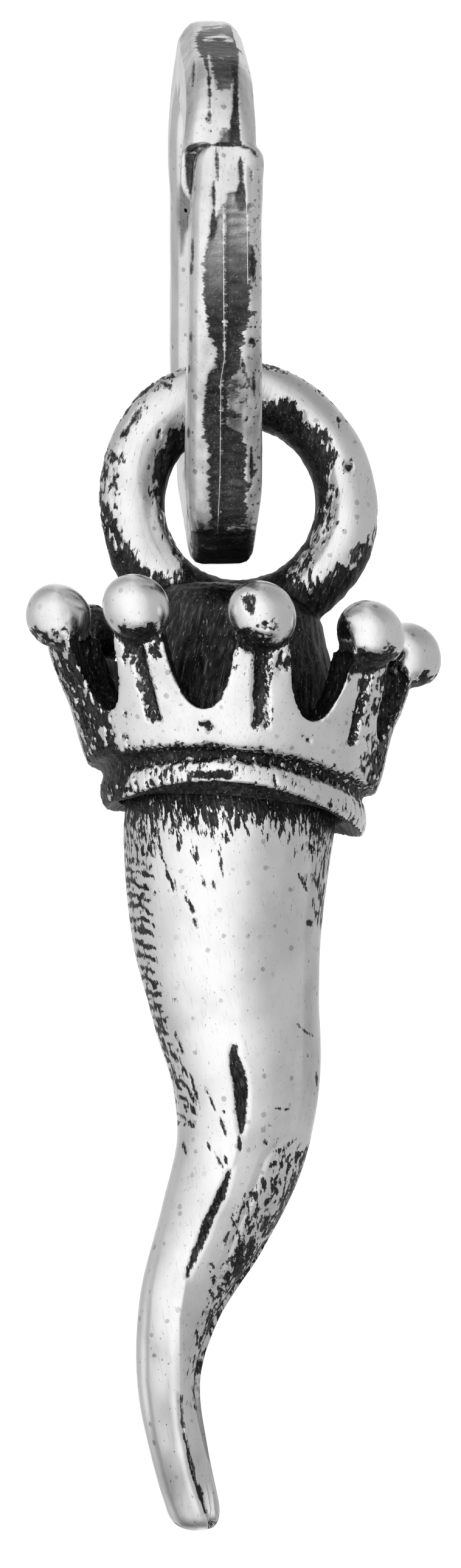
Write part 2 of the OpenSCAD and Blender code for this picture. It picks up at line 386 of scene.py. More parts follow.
# %% Carrier ring
lap_share, lap_gap, step = 0.55, 0.07, 0.12
tongue, outer_round, inner_round = 1.5, 0.16, 0.45
outer_tip, inner_tip = 0.06 - lap_height, ring_round - lap_height + tongue
outer_low = lap_share + lap_gap / ring_t
upper_end = ring_round - lap_height + 0.07  # it comes down over the lower end's round corners
rings = round_end(outer_tip, 1, outer_round, outer_low, 1.1)
lap_end = outer_tip + tongue + lap_gap
rings.append(wire_ring(lap_end, outer_low))
stations = [lap_end + step]
while stations[-1] < ring_round - lap_height - lap_gap - step:
    stations.append(stations[-1] + 0.2)
rings += [wire_ring(s) for s in stations[:-1]]
rings += [wire_ring(upper_end - step / 4), wire_ring(upper_end, 0, lap_share)]
rings += reversed(round_end(inner_tip, -1, inner_round, 0, lap_share))
carrier = loft("carrier_ring_wire", rings)
inside_r = ring_bend - ring_t / 2
hang = Vector((0, ring_a + inside_r * math.sin(ring_lean), ring_b + inside_r * math.cos(ring_lean)))
lean = np.array(Matrix.Rotation(ring_lean, 3, "X") @ Matrix.Rotation(ring_turn, 3, "Z"))
print("ring faces before casting:", len(carrier.data.polygons))

# %% Soften the wire and lean the ring
cast(carrier, voxel=0.056, passes=1)
ring_own, _ = skin(carrier)
put(carrier, (ring_own - np.array(hang)) @ lean.T)
print("hanging point in the ring's own frame, mm:", [round(x, 2) for x in hang])

# %% [markdown]
# The ring's front bar is black down its middle, on both sides of a thin bright
# ridge, and polished on its bevels. The tables follow the torn edges of the
# black in the photograph's pixels. An area has rows of a height, a left and a
# right edge. A line has where it starts and ends, across and down, and how wide
# it is. An edge has rows of a height and a place across. Behind the bar and
# inside the ring, where no photograph looks, the black comes from smooth noise.

# %% Where the ring is black
ring_top = [(43, 334, 382), (50, 328, 390), (60, 322, 394), (80, 324, 394), (95, 330, 390)]
ring_wedge = [(90, 342, 388), (110, 348, 387), (125, 353, 385), (146, 358, 377)]
ring_top_band = [(90, 383, 393), (130, 384, 392), (180, 382, 393), (200, 379, 394), (236, 380, 396)]
ring_triangle = [(213, 368, 392), (226, 361, 394), (240, 352, 400)]
ring_pocket = [(252, 304, 326), (275, 305, 321), (300, 307, 318), (320, 311, 315)]
bar_left = [
    (335, 365, 370), (383, 345, 370), (415, 336, 370), (461, 334, 370), (494, 336, 370), (526, 341, 370),
    (550, 343, 370), (566, 350, 370), (578, 356, 370), (600, 355, 370), (618, 340, 366), (664, 336, 366),
    (710, 336, 366), (742, 343, 366), (802, 343, 366), (857, 347, 366), (885, 347, 366),
]
bar_right = [
    (315, 374, 403), (342, 371, 406), (420, 369, 411), (517, 369, 411), (549, 370, 400), (590, 370, 396),
    (612, 366, 392), (626, 366, 376), (700, 364, 375), (714, 364, 400), (740, 364, 405), (885, 360, 405),
]
bar_foot = [(872, 309, 420), (900, 311, 418), (930, 318, 410)]
bar_mottle = [(600, 372, 400), (640, 374, 400), (720, 372, 400)]
ring_lines = [
    (306, 262, 312, 250, 4), (312, 250, 326, 241, 5), (326, 241, 350, 238, 6), (350, 238, 390, 239, 6),
    (390, 239, 412, 243, 6), (412, 243, 423, 258, 5), (336, 92, 344, 120, 8), (344, 120, 344, 142, 7),
    (344, 142, 345, 162, 6), (345, 162, 344, 180, 4), (344, 180, 345, 196, 6), (337, 194, 345, 199, 4),
    (344, 212, 348, 217, 4), (319, 100, 317, 142, 4), (300, 130, 300, 144, 5), (299, 142, 297, 162, 4),
    (293, 88, 294, 132, 3), (356, 242, 358, 296, 6), (351, 298, 352, 342, 6), (352, 342, 348, 390, 8),
    (395, 258, 397, 300, 9), (397, 296, 397, 342, 15), (416, 408, 416, 462, 9), (414, 560, 414, 561, 11),
    (398, 588, 405, 622, 4), (405, 622, 414, 640, 4), (414, 735, 414, 792, 8), (417, 612, 418, 650, 6),
    (315, 432, 314, 450, 7), (304, 384, 312, 392, 4), (316, 390, 317, 430, 4), (313, 545, 313, 562, 5),
    (311, 600, 310, 614, 5), (310, 702, 310, 720, 5),
]
back_shade = [(284, 300, 330), (310, 293, 330), (345, 291, 330), (385, 294, 306), (420, 296, 300)]
bar_specks = [(260, 408, 425), (430, 410, 430), (560, 396, 430), (700, 404, 430), (880, 400, 424)]
bar_glints = [
    (374, 871, 404, 870, 11), (327, 845, 327, 868, 10), (336, 63, 356, 61, 4), (356, 60, 372, 61, 6),
    (368, 62, 386, 66, 7), (343, 88, 347, 120, 5), (334, 898, 352, 904, 5), (418, 890, 420, 918, 4),
]
ridge_rows = [(330, 367), (517, 368), (590, 369), (625, 363), (779, 362), (870, 358), (890, 357)]
edge_rows = [(266, 403), (354, 406), (487, 408), (544, 404), (642, 403), (836, 405), (890, 405)]
painted_reflection_rows = [
    (42, 0.9), (52, 0.5), (60, 0.04), (90, 0.05), (125, 0.16), (145, 0.4), (200, 0.3), (235, 0.5),
    (320, 0.85), (360, 0.7), (400, 0.45), (430, 0.28), (470, 0.16), (520, 0.03), (870, 0.03), (885, 0.12),
    (930, 0.08),
]

# %% Press and blacken the ring
places, view, toward = look(carrier)
front_half = (ring_own[:, 1] < 0) | (ring_own[:, 2] > ring_b + 1.2)
front = (toward > 0.1) & front_half
black = -9 + 13 * grain(places, 0.9, 3.1) + 8 * grain(places, (0.35, 0.35, 0.8), 9.7)
black = np.where(ring_own[:, 1] > 0.5, black - 8, black)
speckle = np.minimum(patch(view, bar_specks), 0) * 2 - 5 + 13 * grain(places, (0.1, 0.1, 0.16), 2.2)
areas = (ring_top, ring_wedge, ring_top_band, ring_triangle, ring_pocket, bar_left, bar_right, bar_foot)
mottle = np.minimum(patch(view, bar_mottle), 0) * 2 - 2
marked = np.maximum.reduce([patches(view, areas), streaks(view, ring_lines), mottle, speckle])
marked = np.minimum(marked, -streaks(view, bar_glints))
black = np.where(front, np.maximum(marked, -14), np.minimum(black, 12))
lines = {}
for name, rows, from_y, to_y in (("ridge", ridge_rows, 335, 880), ("edge_line", edge_rows, 270, 470)):
    aside = view[0] - read(rows, view[1])
    lines[name] = np.where(front & (view[1] > from_y) & (view[1] < to_y), aside, 30)
# The black lies deeper than the bright metal, and the bare lines stand out of it.
burr = grain(places, (0.5, 0.16, 0.09), 5.0)
sink(
    carrier,
    0.035 * soft(-2, 8, black) + 0.012 * burr * soft(-3, 4, black)
    - 0.03 * soft(8, 0, np.abs(lines["ridge"])) - 0.02 * soft(8, 0, np.abs(lines["edge_line"])),
)
sink(carrier, 0.012 * grain(places, 0.8, 1.0))

# %% Painted reflection on the ring's black, and painted shade on its bevels
# Painted reflection: a pale tone is laid on the black where the bar mirrors light, but not in its deep
# lines.
painted_reflection = read(painted_reflection_rows, view[1]) * (1 + 0.9 * grain(places, (0.4, 0.2, 0.15), 4.0))
painted_reflection += 0.33 * soft(2, -4, lines["ridge"]) * soft(530, 400, view[1]) * soft(330, 350, view[1])
deep = np.maximum(patches(view, (ring_pocket, ring_top_band)), streaks(view, ring_lines))
painted_reflection *= 1 - 0.9 * soft(-5, -2, deep)
keep(carrier, "painted_reflection", np.where(front, painted_reflection, 0.1))
for name, aside in lines.items():
    keep(carrier, name, 0.5 + aside / black_reach)
# Painted shade greys the bevels, and the back bar where the front one shades it.
painted_shade = 0.1 + 0.22 * soft(500, 620, view[1]) + 0.3 * soft(-2, 4, patch(view, bar_mottle))
painted_shade += 0.2 * soft(322, 312, view[0]) * soft(240, 200, view[1])
painted_shade *= 1 + 0.6 * grain(places, (0.2, 0.2, 0.6), 1.0)
painted_shade = np.where(front, painted_shade, 0.06 + 0.6 * soft(-4, 6, patch(view, back_shade)))
blacken(carrier, black, np.where(deep > -4, 0.05, 0.3), painted_shade)

# %% [markdown]
# The hanging eye is a round of thick wire that stands on a dark stub inside the
# crown. A torus and a lathed plug are joined and melted together by a voxel
# remesh and smoothing, which leaves the fillet that casting gives.

# %% Crown frame
crown_left, crown_lean = 0.145, 0.09  # how far left its foot stands, and its head beyond


def in_crown(places):
    """From the crown's own frame, its lower edge at zero, to its tilted place."""
    x, y, z = places.T
    x_row, z_row = x - crown_left - crown_lean * z / crown_h, z - x * math.tan(crown_tilt) + crown_base
    return np.array([x_row, y, z_row]).T + np.array(hinge)


# %% Hanging eye
floor_h, foot_r, foot_shoulder_r, foot_top = 2.1, 2.9, 2.6, 6.0
foot_profile = [(0, floor_h + 0.06), (foot_r, floor_h + 0.06), (2.85, 3.6), (foot_shoulder_r, 4.8)]
foot_profile += [(2.51, 5.26), (2.25, 5.6), (1.84, 5.84), (1.3, 5.96), (0, foot_top)]
eye_middle = hinge - Vector((0, 0, eye_r))
let_go()
bpy.ops.mesh.primitive_torus_add(
    major_radius=eye_r, minor_radius=eye_wire_r, major_segments=160, minor_segments=56,
    location=eye_middle, rotation=(math.pi / 2, 0, 0),
)
eye = bpy.context.object
eye.name = eye.data.name = "eye_and_foot"
bpy.ops.object.transform_apply(location=True, rotation=True, scale=True)
foot = lathe("foot", foot_profile, 96)
put(foot, in_crown(skin(foot)[0]))
join_as_one(eye, [foot])
cast(eye, voxel=0.06, passes=6)
print("eye's middle, mm:", [round(x, 2) for x in eye_middle])

# %% [markdown]
# Wear and casting left the eye uneven. Two tables say, for an angle on the
# clock from the top, how many pixels the hole's edge and the outline stand out.

# %% The eye's uneven outline
hole_rows = [
    (0, 5), (30, 5), (60, 2), (90, 0), (120, -2), (150, -2), (180, -2), (210, -2), (240, -5), (270, -6),
    (290, -4), (330, 2), (360, 5),
]
outline_rows = [
    (0, 12), (20, 7), (35, 2), (50, -3), (80, -5), (97, -1), (112, 3), (130, 0), (245, 0), (258, -5),
    (273, -2), (288, 3), (303, 8), (312, 13), (322, 18), (335, 16), (360, 12),
]


def round_the_hole(places):
    """The way from the hole's middle, its angle on the clock and its pixels."""
    away = places - np.array(eye_middle)
    clock = np.degrees(np.arctan2(away[:, 0], away[:, 2])) % 360
    return away, clock, np.hypot(away[:, 0], away[:, 2]) / pixel


places, _ = skin(eye)
away, clock, radius = round_the_hole(places)
out = read(outline_rows, clock) * soft(130, 225, radius) + read(hole_rows, clock) * soft(190, 130, radius)
away[:, 1] = 0
stretch = out / np.maximum(radius, 1) * soft(-4.4, -3.9, away[:, 2])
put(eye, places + away * stretch[:, None])
print("outline moved by up to, mm:", round(float(np.abs(out).max() * pixel), 2))

# %% [markdown]
# Round the eye the black is told by the clock: for an angle from the top, how
# far out from the middle of the hole the inner black reaches, and from where
# the outer black starts. Under four and eight o'clock the two meet in streaks
# and run down into the black foot.

# %% Black on the eye
INNER_TO, OUTER_FROM = 1, 2
clock_rows = [
    (0, 150, 240), (25, 183, 240), (40, 178, 240), (52, 179, 240), (64, 173, 240), (76, 156, 240),
    (90, 146, 240), (105, 138, 228), (120, 136, 210), (135, 140, 190), (150, 152, 165), (160, 240, 120),
    (205, 240, 120), (216, 150, 172), (228, 131, 180), (240, 128, 192), (255, 130, 204), (268, 136, 212),
    (280, 141, 222), (292, 147, 234), (306, 160, 240), (327, 166, 240), (345, 155, 240), (360, 150, 240),
]
eye_marks = [
    (200, 718, 212, 700, 10), (212, 700, 232, 668, 8), (264, 628, 282, 634, 7), (559, 688, 559, 689, 9),
    (574, 766, 574, 767, 12), (182, 742, 196, 758, 9), (172, 838, 190, 872, 10), (190, 872, 222, 930, 12),
    (186, 790, 192, 806, 8), (466, 613, 467, 614, 8),
]
places, view, toward = look(eye)
away, clock, radius = round_the_hole(places)
black = read(clock_rows, clock, INNER_TO) - radius
black = np.maximum(black, radius - read(clock_rows, clock, OUTER_FROM))
black += 14 * grain(places, 0.4, 2.0) + 13 * grain(places, (0.12, 0.2, 0.25), 4.0)
foot_depth = (away[:, 2] + eye_hole_r + 0.2) / pixel
streaky = 22 * grain(places, (0.1, 0.2, 0.8), 7.0) + 12 * grain(places, (0.07, 0.12, 0.3), 9.0)
black = np.maximum(black, -0.5 * foot_depth + streaky)
# Specks line the inner edge on the right and the outer edge on the left.
inner_band = (clock > 84) & (clock < 150) & (radius < 172)
outer_band = (clock > 236) & (clock < 296) & (radius > 196)
speckled = np.where(inner_band, -1.5 - np.maximum(radius - 160, 0), -30)
speckled = np.where(outer_band, -1.0 - np.maximum(206 - radius, 0), speckled)
black = np.maximum(black, speckled + 12 * grain(places, (0.13, 0.13, 0.16), 3.0))
bright_blobs = 24 * soft(0.15, 0.4, grain(places, (0.14, 0.16, 0.2), 5.0)) * soft(180, 220, clock)
black -= bright_blobs * soft(185, 200, radius) * soft(-3.4, -2.2, away[:, 2])
front = toward > 0.05
black = np.where(front, np.maximum(black, streaks(view, eye_marks)), black)
rib = grain(places, (0.13, 0.25, 1.1), 6.0)
sink(eye, 0.03 * soft(-3, 6, black) + 0.03 * rib * soft(0, 14, black) + 0.012 * grain(places, 0.7, 8.0))
pits = [(559, 688, 559, 689, 12), (574, 766, 574, 767, 16)]
sink(eye, 0.06 * soft(-2, 5, np.where(front, streaks(view, pits), -9)))
# Painted shade greys a facet on the eye's left, where it mirrors the room's grey.
facet_rows = [(262, 140), (274, 167), (305, 188), (325, 186)]
facet = np.minimum(read(facet_rows, clock) - radius, radius - 136)
painted_shade = 0.24 * soft(0, 5, facet) * soft(258, 270, clock) * soft(330, 318, clock) + 0.04
tear = np.where(front & (streaks(view, eye_marks) > -4), 0.2, 0.7)
blacken(eye, black, tear, np.where(front, painted_shade, 0.04))

# %% [markdown]
# The crown is turned on a lathe first, as its wax would be: a band, a groove
# and a flaring wall. Then nine notches, wide above and narrow below, are sunk
# between the points, a ball is set on each point, and all is melted together.
# Two far points stand off their even places, so that the front balls hide them.

# %% Crown wall
socket_h, socket_r = 1.1, 3.0
outer_wall = [
    (3.47, 0.84), (3.54, 0.98), (3.82, 1.04), (3.97, 1.34), (4.16, 1.98), (4.36, 2.58), (4.58, 3.08),
    (4.8, 3.68), (4.92, 4.19),
]
inner_wall = [(3.7, 4.19), (3.62, 3.68), (3.42, 3.08), (3.24, 2.58), (3.0, floor_h), (0, floor_h)]
wall_profile = [(0, socket_h), (socket_r, socket_h), (socket_r, 0), (3.34, 0), (3.5, 0.14), (3.56, 0.39)]
wall_profile += [(3.54, 0.62), (3.48, 0.78)] + outer_wall + inner_wall
crown = lathe("crown_casting", wall_profile, 144)
print("crown wall faces:", len(crown.data.polygons))

# %% Notches and balls
uneven_turn = {5: -18, 6: -8}  # degrees, for points 5 and 6
uneven_rise = {5: 0.3}  # mm


def point_turn(k):
    """The turn of point k round the crown, in radians."""
    return math.radians(uneven_turn.get(k, 0)) - 2 * math.pi * k / points


def round_point(k, radius, height):
    """Place round the crown: point k, a radius and a height."""
    angle = point_turn(k)
    return Vector((radius * math.cos(angle), radius * math.sin(angle), height + uneven_rise.get(k, 0)))


notch_arch = both_sides([
    (1.37, 6.4), (0.9, 3.75), (0.83, 3.4), (0.74, 3.0), (0.63, 2.74), (0.5, 2.48), (0.36, 2.28),
    (0.2, 2.15), (0, 2.1),
])
cut_from, cut_to = 2.5, 7.0
cutters = []
for k in range(points):
    here, after = point_turn(k), point_turn(k + 1)
    narrow = min(1, (here - after) * points / (2 * math.pi))
    turn = Matrix.Rotation((here + after) / 2, 3, "Z")
    ends = [[turn @ Vector((x, y * narrow, z)) for y, z in notch_arch] for x in (cut_from, cut_to)]
    cutters.append(loft(f"notch_{k}", ends))
join_as_one(crown, cutters, "DIFFERENCE")
balls = []
for k in range(points):
    let_go()
    bpy.ops.mesh.primitive_uv_sphere_add(
        segments=40, ring_count=24, radius=ball_r, location=round_point(k, crown_r, crown_h)
    )
    balls.append(bpy.context.object)
join_as_one(crown, balls)
cast(crown, voxel=0.068, passes=6)
print("crown faces:", len(crown.data.polygons))

# %% [markdown]
# The band doesn't run level: it arches up in front and behind, and dips at the
# sides. A torn black groove parts it from the wall, and a black flute runs down
# the middle of each point.

# %% Arch the band
places, normals = skin(crown)
round_r = np.hypot(places[:, 0], places[:, 1])
height = places[:, 2].copy()
turn = np.arctan2(places[:, 0], -places[:, 1])
arched = 0.365 * np.cos(2 * turn) - 0.065
arched = arched + 0.17 * soft(-0.8, -1.4, turn) * soft(-2.6, -1.9, turn)
lift = arched * np.clip(1 - height / 2.4, 0, 1) * soft(3.02, 3.4, round_r)
# How far each place lies below its ball's middle, in ball radii, and inside a flute.
ball_low = np.full(len(places), -9.0)
inner_from = np.full(len(places), -0.72)
flute = np.full(len(places), -1.0 * black_reach)
flute_from, flute_to, flute_half = 1.75, 3.65, 0.19
for k in range(points):
    ball = np.array(round_point(k, crown_r, crown_h))
    near_ball = np.linalg.norm(places - ball, axis=1) < 1.08 * ball_r
    ball_low = np.where(near_ball, (ball[2] - places[:, 2]) / ball_r, ball_low)
    # Far balls are blackened further on their inward faces: patina inside the crown, and painted shade
    # where the far side lies in shadow.
    inner_from = np.where(near_ball & (k > 4), -0.2, inner_from)
    middle_turn = math.pi / 2 + point_turn(k)
    aside = (turn - middle_turn + math.pi) % (2 * math.pi) - math.pi
    run = np.minimum(height - flute_from, flute_to - height)
    lane = flute_half - np.abs(aside * round_r + 0.05 * (height - 2.7))
    flute = np.maximum(flute, np.minimum(run, lane) / pixel)
outer = normals[:, 0] * np.sin(turn) - normals[:, 1] * np.cos(turn)
print("band lifted by, mm:", round(float(lift.min()), 2), "to", round(float(lift.max()), 2))

# %% Where the crown is black
crown_pits = [(330, 1190, 352, 1196, 17), (504, 1212, 512, 1220, 9), (498, 1208, 501, 1211, 5)]
crown_patches = [
    [(1040, 204, 236), (1060, 200, 234), (1078, 212, 232)],
    [(1044, 384, 412), (1064, 392, 424), (1076, 410, 436)],
    [(1072, 560, 668), (1096, 566, 640), (1110, 572, 600)],
    [(978, 396, 420), (992, 400, 421), (1012, 410, 418)],
    [(1010, 558, 568), (1030, 552, 573), (1052, 556, 578)],
    [(1266, 310, 376), (1273, 308, 382), (1280, 316, 378)],
]
crown_flanks = [
    [
        (1080, 60, 130), (1130, 90, 168), (1180, 110, 184), (1240, 120, 200), (1290, 140, 216),
        (1330, 150, 200),
    ],
    [(1110, 626, 700), (1180, 612, 680), (1290, 600, 660), (1320, 600, 640)],
]
groove_h, groove_wide = 0.9, 0.155

# %% Black in the crown's hollows
# Black fills the inside, the groove and the flutes, and creeps up the stems.
ragged = 14 * grain(places, 0.45, 9.0) + 9 * grain(places, (0.12, 0.12, 0.22), 2.5)
black = (0.2 - outer) * 60 + 0.5 * ragged - 8
inside = (round_r < 3.5) & (height > 1.3)
black = np.where(inside, 13 + 24 * grain(places, (0.12, 0.12, 0.2), 5.0), black)
black = np.where(height < 0.08, 14, black)
groove = (groove_wide - np.abs(height - groove_h) + 0.06 * grain(places, 0.3, 2.0)) / pixel
groove += 9 * grain(places, (0.09, 0.09, 0.25), 5.0) + 5 * soft(0.2, -0.9, turn)
black = np.maximum(black, groove)
black = np.maximum(black, flute + 8 * grain(places, (0.12, 0.12, 0.3), 3.0))
stem = soft(2.7, 3.5, height)
black = np.maximum(black, -14 + 13 * stem + 1.3 * ragged * stem)
under_ball = (ball_low - 0.66) * 34 + ragged
under_ball = np.maximum(under_ball, (inner_from - outer) * 60 + ragged)
black = np.where(ball_low > -2, under_ball, black)
slits = -7 + 14 * grain(places, (0.1, 0.1, 0.5), 12.0)
slits = slits + 5 * soft(0.3, -0.7, turn) + 9 * soft(-1.0, -1.4, turn)
black = np.where(height < 0.75, np.maximum(black, slits), black)

# %% Stand the crown on the horn, press and blacken it
put(crown, in_crown(places + lift[:, None] * np.array((0, 0, 1))))
places, view, toward = look(crown)
front = toward > 0.1
on_photo = np.maximum(patches(view, crown_patches), streaks(view, crown_pits))
on_flanks = np.clip(patches(view, crown_flanks) * 0.5, -40, 8) + 1.1 * ragged
on_flanks -= 20 * soft(0.2, 0.45, grain(places, (0.14, 0.14, 0.18), 7.0))
black = np.where(front, np.maximum.reduce([black, on_photo + 0.3 * ragged, on_flanks]), black)
dip = 0.05 * soft(-3, 5, black) + 0.13 * soft(-4, 8, flute)
dip = dip + 0.03 * soft(0, 8, np.where(front, streaks(view, crown_pits), -9))
rough = grain(places, 0.16, 4.0)
sink(crown, dip + 0.025 * rough * soft(0, 8, black) + 0.02 * grain(places, 0.75, 6.0))
drawn = front & (np.maximum(on_photo, on_flanks) > -5)
blacken(crown, black, np.where(drawn, 0.22, np.where(ball_low > -2, 0.3, 0.5)))

# %% [markdown]
# The horn is lofted down its S-curve from a short table: how far down, how far
# aside and how thick, as shares of its length and of its top radius. Two levels
# of subdivision give it skin fine enough for scratches.

# %% Horn
DOWN, SIDE, RADIUS = 0, 1, 2
horn_rows = [
    (0.0, -0.007, 0.994), (0.1, -0.015, 0.953), (0.2, -0.016, 0.878), (0.3, -0.005, 0.779),
    (0.4, 0.010, 0.684), (0.5, 0.003, 0.591), (0.6, -0.033, 0.503), (0.7, -0.076, 0.382),
    (0.8, -0.093, 0.288), (0.9, -0.078, 0.257), (1.0, -0.052, 0.227),
]
horn_flat, tip_round, tip_lean = 0.94, 0.8, 0.45


def horn_row(t):
    """A smooth curve through the rows of the table, at t from 0 to 1."""
    last = len(horn_rows) - 1
    i = min(last - 1, int(t * last))
    f = t * last - i
    a, b, c, d = (Vector(horn_rows[j]) for j in (max(0, i - 1), i, i + 1, min(last, i + 2)))
    bend, twist = 2 * a - 5 * b + 4 * c - d, 3 * b - a - 3 * c + d
    return 0.5 * (2 * b + (c - a) * f + bend * f**2 + twist * f**3)


def horn_ring(t, sides=64):
    """One ring of the horn, with a blunt round tip."""
    row, before, after = horn_row(t), horn_row(max(0, t - 0.01)), horn_row(min(1, t + 0.01))
    run = after - before
    slope = crown_tilt if t == 0 else -math.atan2(run[SIDE], run[DOWN])
    into = 1 - (1 - t) * horn_length / tip_round
    full_r = row[RADIUS] * horn_r
    r = full_r * (1 if into <= 0 else math.sqrt(1 - 0.97 * into * into))
    middle = row[SIDE] * horn_length + tip_lean * (full_r - r)
    ring = []
    for j in range(sides):
        turn = 2 * math.pi * j / sides
        x, y = r * math.sin(turn), -r * math.cos(turn) * horn_flat
        ring.append(hinge + Vector((
            middle + x * math.cos(slope), y,
            horn_top - row[DOWN] * horn_length - x * math.sin(slope),
        )))
    return ring


ring_count, crowd = 88, 80
horn = loft("horn_casting", [
    horn_ring(math.sin(math.radians(crowd * k / ring_count)) / math.sin(math.radians(crowd)))
    for k in range(ring_count + 1)
])
modify(horn, "SUBSURF", levels=2, render_levels=2)
print("horn faces:", len(horn.data.polygons))

# %% [markdown]
# A soft ridge runs down the front of the horn, and the deep black creases lie
# on it. To its right the polisher flattened the side, so the light changes
# there at once. Short bars climb the left edge like a comb's teeth, and streaks
# gather low on the right. The tables are in the photograph's pixels again.

# %% Marks on the horn
horn_ridge = [
    (1330, 404), (1560, 401), (1700, 392), (1860, 397), (1923, 380), (1977, 357), (2030, 333), (2100, 306),
    (2167, 296), (2300, 298), (2383, 310), (2450, 328), (2500, 342),
]
horn_right = [
    (1330, 560), (1460, 540), (1560, 532), (1700, 528), (1800, 522), (1900, 503), (2000, 463), (2100, 415),
    (2200, 365), (2300, 338), (2400, 346), (2500, 357),
]
horn_strip = [
    (1330, 514), (1400, 508), (1521, 497), (1700, 494), (1800, 492), (1860, 480), (1900, 440), (2233, 314),
    (2317, 323), (2420, 343), (2480, 352),
]
horn_rim = [
    (1850, 306), (1900, 297), (1967, 277), (2033, 260), (2117, 243), (2200, 237), (2270, 238), (2367, 250),
    (2450, 270), (2500, 290),
]
crease_upper = [
    (1716, 382, 390), (1732, 376, 391), (1760, 378, 404), (1792, 384, 408), (1820, 387, 407),
    (1844, 390, 405), (1864, 394, 399),
]
crease_middle = [
    (1920, 376, 382), (1953, 359, 375), (1977, 349, 366), (2003, 335, 352), (2030, 325, 343),
    (2060, 314, 328), (2100, 304, 309),
]
crease_lower = [
    (2292, 296, 299), (2343, 298, 304), (2383, 307, 314), (2420, 313, 321), (2450, 323, 334),
    (2486, 337, 342),
]
left_hooks = [
    (266, 1706, 276, 1734, 6), (278, 1724, 297, 1748, 6), (297, 1748, 309, 1770, 6),
    (287, 1696, 301, 1730, 4), (282, 1748, 289, 1782, 6), (295, 1772, 312, 1792, 6),
    (312, 1792, 321, 1814, 6), (292, 1800, 308, 1808, 6), (308, 1808, 323, 1832, 7),
    (312, 1764, 329, 1822, 4), (294, 1830, 305, 1837, 6), (305, 1837, 317, 1850, 5),
    (300, 1876, 306, 1898, 6), (262, 1680, 272, 1700, 5),
]
top_teeth = [
    (396, 1312, 411, 1368, 8), (288, 1350, 295, 1394, 6), (316, 1342, 323, 1366, 6),
    (372, 1350, 377, 1364, 5), (320, 1390, 323, 1416, 5), (367, 1366, 372, 1381, 5),
    (360, 1400, 368, 1441, 4), (258, 1384, 274, 1424, 5), (274, 1428, 289, 1466, 6),
    (310, 1480, 321, 1502, 7), (318, 1508, 327, 1527, 4), (305, 1452, 305, 1480, 4),
    (330, 1430, 337, 1460, 4), (350, 1446, 352, 1460, 5), (508, 1322, 519, 1372, 8),
    (514, 1372, 521, 1398, 5), (529, 1350, 536, 1402, 6), (490, 1434, 505, 1463, 4),
    (516, 1436, 521, 1456, 5), (525, 1470, 531, 1494, 5), (520, 1497, 521, 1503, 8),
    (509, 1516, 509, 1517, 11), (440, 1318, 447, 1352, 7), (470, 1316, 480, 1356, 8),
    (246, 1352, 262, 1384, 7), (236, 1356, 248, 1404, 7), (344, 1330, 352, 1372, 6),
    (424, 1330, 428, 1350, 6),
]
small_marks = [
    (336, 1784, 355, 1826, 4), (360, 1834, 372, 1866, 5), (368, 1825, 368, 1826, 6),
    (352, 1892, 367, 1918, 5), (370, 1898, 373, 1914, 6), (434, 1874, 440, 1880, 8),
    (449, 1908, 452, 1916, 11), (520, 1762, 521, 1784, 5), (500, 1896, 502, 1910, 9),
    (393, 1868, 395, 1892, 8), (442, 1846, 444, 1850, 4), (486, 1680, 503, 1696, 4),
    (503, 1696, 516, 1702, 4), (452, 1821, 466, 1824, 4), (466, 1824, 480, 1820, 4),
    (450, 1893, 470, 1888, 4), (470, 1888, 488, 1868, 4), (500, 1440, 502, 1462, 5),
    (340, 1876, 346, 1890, 5), (282, 1640, 290, 1644, 4),
]
flank = [
    (1890, 470, 520), (1950, 410, 500), (2010, 372, 470), (2090, 345, 425), (2170, 330, 385),
    (2250, 318, 352), (2300, 326, 340),
]
top_right = [(1320, 500, 565), (1400, 508, 556), (1460, 516, 548), (1520, 520, 544)]
comb_area = [
    (1372, 196, 236), (1400, 198, 248), (1500, 208, 250), (1560, 218, 256), (1660, 238, 266),
    (1710, 250, 276),
]
left_ground = [
    (1350, 196, 236), (1420, 202, 238), (1520, 212, 242), (1640, 240, 262), (1760, 270, 300),
    (1850, 280, 312),
]
flank_marks = [
    (486, 1928, 474, 1990, 14), (470, 1960, 452, 2030, 12), (448, 1935, 450, 1965, 7),
    (433, 1936, 436, 1958, 8), (419, 1955, 420, 1972, 9), (408, 1978, 409, 1988, 7),
    (424, 1980, 426, 2000, 6), (381, 1992, 390, 2030, 5), (398, 2040, 388, 2110, 22),
    (420, 2030, 404, 2080, 18), (376, 2084, 372, 2116, 12), (350, 2096, 352, 2108, 8),
    (346, 2120, 350, 2140, 5), (362, 2110, 364, 2150, 7), (344, 2076, 346, 2082, 7),
    (350, 2140, 342, 2190, 8), (324, 2186, 326, 2196, 4), (336, 2210, 340, 2230, 6),
    (440, 1990, 432, 2030, 9), (412, 2010, 408, 2030, 9),
]
horn_marks = left_hooks + top_teeth + small_marks + flank_marks
print("marks drawn on the horn:", len(horn_marks))

# %% The polisher's flats
def flattened(view, toward):
    """How deep the polisher's flat on the right and the strips press in, in mm."""
    x, y = view
    edge, right = read(horn_ridge, y), read(horn_right, y)
    across = np.clip((x - edge) / np.maximum(right - edge, 1), 0, 1)
    hardness = 1.5 - 0.7 * soft(1550, 1850, y)
    flat = (0.03 + 0.11 * soft(1650, 1950, y)) * (4 * across * (1 - across)) ** hardness
    strip = read(horn_strip, y)
    flat += 0.035 * soft(14, 0, np.abs(x - strip)) - 0.02 * soft(-16, -2, x - strip) * (x < strip)
    flat += 0.03 * soft(9, 0, np.abs(x - read(horn_rim, y))) * soft(1840, 1960, y)
    return np.where(toward > 0, flat, 0)


places, view, toward = look(horn)
flats = flattened(view, toward)
sink(horn, flats + 0.012 * grain(places, 1.1, 3.0))
print("deepest flat, mm:", round(float(flats.max()), 2))

# %% Black on the horn
places, view, toward = look(horn)
front = toward > 0.02
